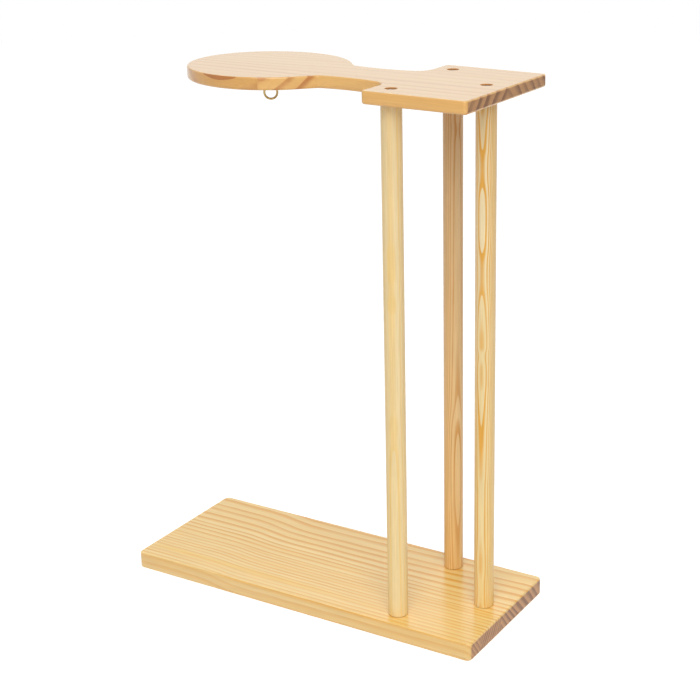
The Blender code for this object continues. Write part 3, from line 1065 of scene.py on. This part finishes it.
def screw_tree():
    """One screw, made as a grid wrapped round Z with its head at height 0, and a copy of it at
    each of the points that the tree is given."""
    tree, given = new_tree(
        "wood_screws",
        "GeometryNodeTree",
        {
            "Geometry": ["Geometry"],
            "Float": ["Length", "Turn", *screw_sizes],
            "Int": [*screw_counts],
            "Material": ["Material"],
        },
        {"Geometry": ["Geometry"]},
    )

    grid, turn, row, last_row = wrapping_grid(tree, given["Sides"], given["Rows"])
    cone_depth = difference(tree, given["Head Radius"], given["Core Radius"])
    cone_end = sum_of(tree, given["Head Rim"], cone_depth)
    head_rows = [
        (0.0, 0.0),
        (given["Head Radius"], 0.0),
        (given["Head Radius"], given["Head Rim"]),
        (given["Core Radius"], cone_end),
    ]
    head_radius, head_depth = profile_point(tree, row, head_rows)

    last_head_row = len(head_rows) - 1.0
    shank_rows = difference(tree, last_row, last_head_row)
    along = calculate(tree, "DIVIDE", difference(tree, row, last_head_row), shank_rows, clamp=True)
    shank_length = difference(tree, given["Length"], cone_end)
    depth = sum_of(tree, cone_end, product(tree, along, shank_length))
    to_point = difference(tree, given["Length"], depth)
    taper = calculate(tree, "DIVIDE", to_point, given["Point Length"], clamp=True)
    thread_room = sum_of(tree, given["Thread Length"], given["Point Length"])
    into_thread = difference(tree, thread_room, to_point)
    start = calculate(tree, "DIVIDE", into_thread, given["Pitch"], clamp=True)
    pitches = calculate(tree, "DIVIDE", depth, given["Pitch"])
    turns = sum_of(tree, pitches, product(tree, turn, 0.5 / math.pi))
    saw = product(tree, difference(tree, calculate(tree, "FRACT", turns), 0.5), 2.0)
    fallen = product(tree, calculate(tree, "ABSOLUTE", saw), screw_ridge_slope)
    ridge = difference(tree, 1.0, fallen)
    ridge = calculate(tree, "MAXIMUM", ridge, 0.0)
    thread = product(tree, ridge, given["Thread Depth"])
    thread = product(tree, thread, product(tree, start, taper))
    shank_radius = sum_of(tree, product(tree, given["Core Radius"], taper), thread)
    in_shank = calculate(tree, "GREATER_THAN", row, last_head_row + 0.5)
    radius = mixed(tree, in_shank, head_radius, shank_radius, "FLOAT")
    height = product(tree, mixed(tree, in_shank, head_depth, depth, "FLOAT"), -1.0)
    screw = wrapped(tree, grid, turn, radius, height, (0.0, 0.0, 0.0))

    recess_height = product(tree, given["Recess Depth"], 2.0)
    bar_size = join_xyz(tree, X=given["Recess Span"], Y=given["Recess Slot"], Z=recess_height)
    bar = add_node(tree, "GeometryNodeMeshCube", {"Size": bar_size}).outputs[0]
    turned = {"Geometry": bar, "Rotation": (0.0, 0.0, math.pi / 2)}
    crossing = add_node(tree, "GeometryNodeTransform", turned).outputs[0]
    recessed = add_node(tree, "GeometryNodeMeshBoolean", {"Mesh 1": screw}, operation="DIFFERENCE")
    tree.links.new(bar, recessed.inputs["Mesh 2"])
    tree.links.new(crossing, recessed.inputs["Mesh 2"])
    facing = join_xyz(tree, X=given["Turn"])
    placed = {"Points": given["Geometry"], "Instance": recessed.outputs[0], "Rotation": facing}
    copies = add_node(tree, "GeometryNodeInstanceOnPoints", placed).outputs[0]
    return finish_tree(tree, copies, given["Material"])


def metal_material(name, amount_of, colors, roughness):
    """Bare metal between two colours and two roughnesses, by an amount made in its tree."""
    material, tree = blank_material(name)
    amount = amount_of(tree)
    inputs = {
        "Base Color": mixed(tree, amount, *colors),
        "Roughness": mixed(tree, amount, *roughness, "FLOAT"),
        "Metallic": 1.0,
    }
    give_surface(tree, inputs)
    return material


def zinc_cloud(tree):
    """Zinc plating is a little cloudy and worn."""
    return speckle(tree, 650.0, 3.0)


wood_screws = screw_tree()
zinc_plate = metal_material("zinc_plate", zinc_cloud, zinc_colors, zinc_roughness)
all_screws = bmesh.new()
for screw_level, screw_turn in (("top", 0.0), ("base", math.pi)):
    head_points = []
    for post_side, post_spot in post_spots.items():
        screw_low, screw_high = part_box(f"{screw_level}_screw_{post_side}")
        head_z = screw_high.z if screw_level == "top" else screw_low.z
        head_points.append((*post_spot, head_z))
    heads = bpy.data.meshes.new(f"{screw_level}_screw_heads")
    heads.from_pydata(head_points, [], [])
    values = {
        **screw_sizes,
        **screw_counts,
        "Length": screw_high.z - screw_low.z,
        "Turn": screw_turn,
        "Material": zinc_plate,
    }
    screw_set = run_tree(f"{screw_level}_screws", wood_screws, values, heads)
    all_screws.from_mesh(screw_set.data)
    bpy.data.objects.remove(screw_set)
screws_mesh = bpy.data.meshes.new("wood_screws")
all_screws.to_mesh(screws_mesh)
all_screws.free()
screws_mesh.materials.append(zinc_plate)
smooth(screws_mesh)
screws = link_object("wood_screws", screws_mesh)
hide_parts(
    *[f"{level}_screw_{side}" for level in ("top", "base") for side in post_nodes]
)
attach(screws, "root")

# The screw eye. A length of brass wire, threaded and pointed at one end and bent into a ring at
# the other, is driven up into the middle of the round plate. The chime's cord goes through it.
eye_wire_diameter = 0.0022
eye_ring_diameter = 0.015
eye_shoulder_radius = 0.002
eye_thread_depth = 0.0003
eye_thread_pitch = 0.0011
eye_ridge_slope = 1.4
eye_point_length = 0.0025
eye_point_share = 0.3
eye_turn = math.radians(28)
eye_sides = 24
eye_ring_steps = 96
rings_per_thread = 10
wire_end_gap = 0.0003
wire_end_core = 0.75
wire_end_lifts = (0.4, 0.75, 0.95)
brass_colors = ((0.460, 0.330, 0.130, 1.0), (0.260, 0.160, 0.060, 1.0))
brass_roughness = (0.20, 0.38)

eye_low, eye_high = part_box("screw_eye")
eye_drop = top_low.z - eye_low.z
eye_shank = eye_high.z - top_low.z


def thread_ring(height, from_point, fade):
    """A ring of points round the thread, whose ridge climbs with the turn."""
    taper = min(1.0, from_point / eye_point_length)
    core = eye_wire_diameter / 2 * (eye_point_share + (1 - eye_point_share) * taper)
    ring = []
    for number in range(eye_sides):
        part = number / eye_sides
        saw = (height / eye_thread_pitch - part) % 1.0
        ridge = max(0.0, 1 - eye_ridge_slope * abs(2 * saw - 1))
        radius = core + eye_thread_depth * ridge * taper * fade
        angle = 2 * math.pi * part
        ring.append((radius * math.cos(angle), radius * math.sin(angle), height))
    return ring


def wire_ring(center, run, radius):
    """A ring of points round the wire, square to the way that it runs in the ring's plane."""
    side = Vector((-run.y, run.x))
    return [
        (center.x + offset * side.x, aside, center.y + offset * side.y)
        for offset, aside in circle((0.0, 0.0), radius, eye_sides)
    ]


def eye_rings():
    """Rings of points along the wire, from the point in the wood to the ring's free end."""
    wire = eye_wire_diameter / 2
    bend = (eye_ring_diameter - eye_wire_diameter) / 2
    center = -eye_drop + eye_ring_diameter / 2
    shoulder = eye_shoulder_radius
    rise = math.sqrt((bend + shoulder) ** 2 - shoulder**2)
    meet = math.atan2(rise, shoulder)
    free_end = math.pi / 2 + math.asin((eye_wire_diameter + wire_end_gap) / bend)
    line = arc((shoulder, center + rise), shoulder, math.pi, meet + math.pi, corner_steps)
    line += arc((0.0, center), bend, meet, free_end - 2 * math.pi, eye_ring_steps)[1:]
    line = [Vector(point) for point in line]
    rings = [[(0.0, 0.0, eye_shank)]]
    step = eye_thread_pitch / rings_per_thread
    count = int(eye_shank / step)
    for number in range(1, count):
        fade = min(1.0, (count - number) / rings_per_thread)
        rings.append(thread_ring(eye_shank - number * step, number * step, fade))
    for behind, here, ahead in zip(line[:1] + line, line, line[1:] + line[-1:]):
        rings.append(wire_ring(here, (ahead - behind).normalized(), wire))
    run = (line[-1] - line[-2]).normalized()
    for lift in wire_end_lifts:
        narrow = wire_end_core + (1 - wire_end_core) * math.sqrt(1 - lift**2)
        rings.append(wire_ring(line[-1] + run * lift * wire_end_gap, run, wire * narrow))
    place = Matrix.Translation((disc_x, 0.0, top_low.z)) @ Matrix.Rotation(eye_turn, 4, "Z")
    return [[tuple(place @ Vector(point)) for point in ring] for ring in rings]


def brass_tarnish(tree):
    """Brass wire is bright where it is handled and dulled by faint brown spots."""
    return soft_ramp(tree, speckle(tree, 320.0, 4.0), 0.42, 0.68)


eye = link_object("eye_wire", closed_mesh("eye_wire", eye_rings()))
brass_wire = metal_material("brass_wire", brass_tarnish, brass_colors, brass_roughness)
eye.data.materials.append(brass_wire)
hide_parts("screw_eye")
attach(eye, "root")
